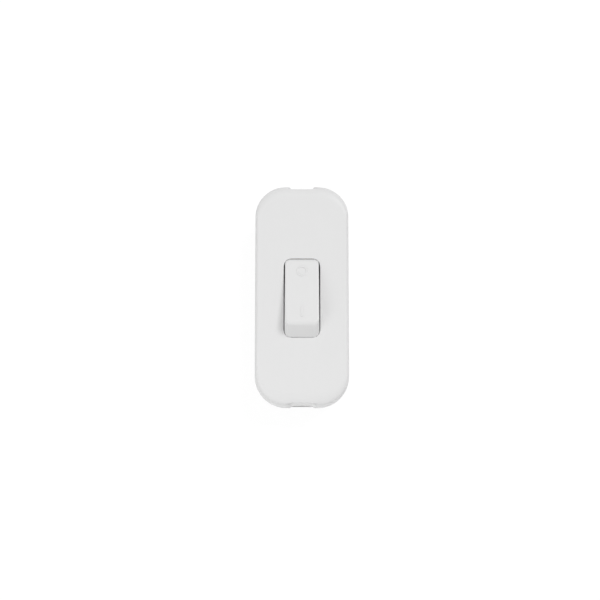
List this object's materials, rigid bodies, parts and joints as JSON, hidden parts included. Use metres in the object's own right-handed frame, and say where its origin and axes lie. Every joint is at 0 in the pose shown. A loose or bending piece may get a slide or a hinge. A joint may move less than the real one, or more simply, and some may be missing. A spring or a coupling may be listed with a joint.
{
  "type": "inline cord switch",
  "caption": "Oblong moulded inline cord switch with a raised rocker marked I and O and a cord entry in each end.",
  "frame": {"origin": "centre of the flat back that the switch lies on", "axes": "+Z out of the back towards the rocker, +Y along the body to the end marked O, +X to the right seen from above"},
  "size_m": [0.0324, 0.0754, 0.0274],
  "materials": {
    "housing_plastic": "white moulded thermoplastic, fine satin",
    "rocker_plastic": "white moulded thermoplastic, satin",
    "clamp_plastic": "natural white nylon",
    "plunger_steel": "turned and tumbled steel",
    "spring_steel": "drawn spring wire",
    "screw_steel": "zinc-plated steel",
    "bridge_copper": "stamped copper",
    "contact_silver": "silver alloy contact",
    "strip_brass": "stamped and bent brass strip",
    "terminal_brass": "sawn and drilled brass bar"
  },
  "bodies": {
    "housing": {"upper_shell": "housing_plastic", "lower_shell": "housing_plastic", "earth_connector": "terminal_brass", "earth_screw_o_end": "screw_steel", "cord_clamp_o_end": "clamp_plastic", "housing_screw_o_end": "screw_steel", "earth_screw_i_end": "screw_steel", "cord_clamp_i_end": "clamp_plastic", "housing_screw_i_end": "screw_steel", "fixed_contact_left": "contact_silver", "fixed_terminal_left": "strip_brass", "fulcrum_terminal_left": "strip_brass", "terminal_block_left_o_end": "terminal_brass", "terminal_screw_left_o_end": "screw_steel", "clamp_screw_left_o_end": "screw_steel", "terminal_block_left_i_end": "terminal_brass", "terminal_screw_left_i_end": "screw_steel", "clamp_screw_left_i_end": "screw_steel", "fixed_contact_right": "contact_silver", "fixed_terminal_right": "strip_brass", "fulcrum_terminal_right": "strip_brass", "terminal_block_right_o_end": "terminal_brass", "terminal_screw_right_o_end": "screw_steel", "clamp_screw_right_o_end": "screw_steel", "terminal_block_right_i_end": "terminal_brass", "terminal_screw_right_i_end": "screw_steel", "clamp_screw_right_i_end": "screw_steel"},
    "rocker": {"rocker": "rocker_plastic", "plunger_spring_left": "spring_steel", "plunger_spring_right": "spring_steel"},
    "plunger_left": {"plunger_left": "plunger_steel"},
    "bridge_left": {"contact_bridge_left": "bridge_copper", "moving_contact_left": "contact_silver"},
    "plunger_right": {"plunger_right": "plunger_steel"},
    "bridge_right": {"contact_bridge_right": "bridge_copper", "moving_contact_right": "contact_silver"}
  },
  "joints": [
    {"name": "rocker_tilt", "type": "hinge", "parent": "housing", "child": "rocker", "pos_m": [0, -0.0013, 0.0167], "axis": [1, 0, 0], "range_deg": [0, 26]},
    {"name": "plunger_slide_left", "type": "slide", "parent": "rocker", "child": "plunger_left", "axis": [0, 0.225, 0.9744], "range_m": [0, 0.0006], "stiffness_N_per_m": 100, "deforming": ["plunger_spring_left"]},
    {"name": "bridge_tilt_left", "type": "hinge", "parent": "housing", "child": "bridge_left", "pos_m": [-0.0029, -0.0013, 0.00937], "axis": [1, 0, 0], "range_deg": [-12, 0]},
    {"name": "plunger_slide_right", "type": "slide", "parent": "rocker", "child": "plunger_right", "axis": [0, 0.225, 0.9744], "range_m": [0, 0.0006], "stiffness_N_per_m": 100, "deforming": ["plunger_spring_right"]},
    {"name": "bridge_tilt_right", "type": "hinge", "parent": "housing", "child": "bridge_right", "pos_m": [0.0029, -0.0013, 0.00937], "axis": [1, 0, 0], "range_deg": [-12, 0]}
  ],
  "couplings": [
    {"joint": "bridge_tilt_left", "follows": "rocker_tilt", "ratio": -0.46154},
    {"joint": "bridge_tilt_right", "follows": "rocker_tilt", "ratio": -0.46154}
  ]
}
